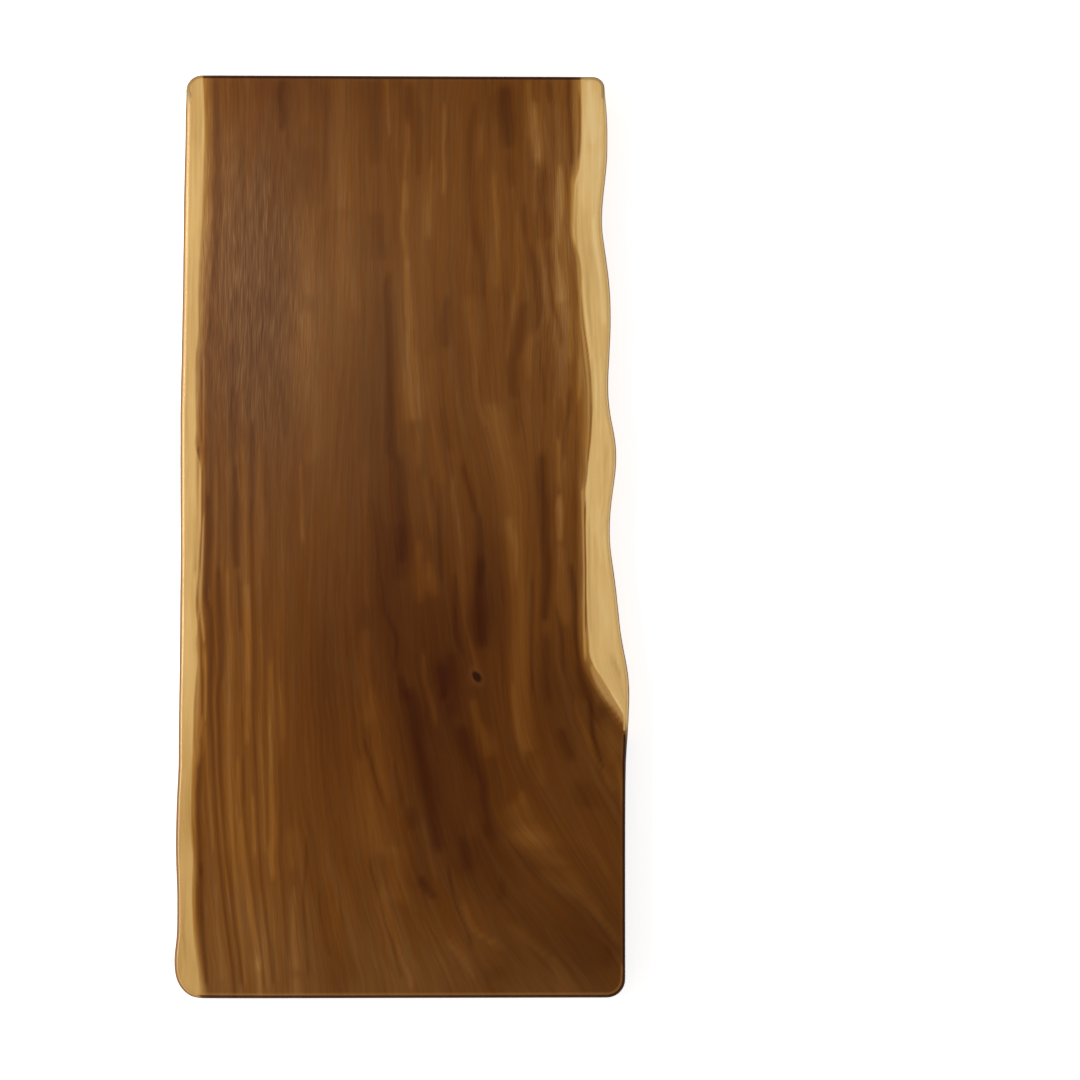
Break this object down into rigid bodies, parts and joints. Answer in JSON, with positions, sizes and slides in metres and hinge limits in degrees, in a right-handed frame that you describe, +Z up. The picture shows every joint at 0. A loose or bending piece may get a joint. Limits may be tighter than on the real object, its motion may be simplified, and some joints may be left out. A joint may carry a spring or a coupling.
{
  "type": "suar wood tabletop",
  "caption": "Live-edge suar plank tabletop with sawn ends, rounded corners, pale sapwood along both natural edges and brown figured heartwood.",
  "frame": {"origin": "on the underside, at the middle of the plank's box", "axes": "+Y along the plank towards its two routed corners, +X across the plank towards the side with the wavy natural edge, +Z up out of the top face"},
  "size_m": [0.985, 2, 0.05],
  "materials": {
    "oiled_suar": "satin oiled suar: brown heartwood, pale yellow sapwood along the natural edges"
  },
  "bodies": {
    "root": {"slab": "oiled_suar"}
  },
  "joints": []
}
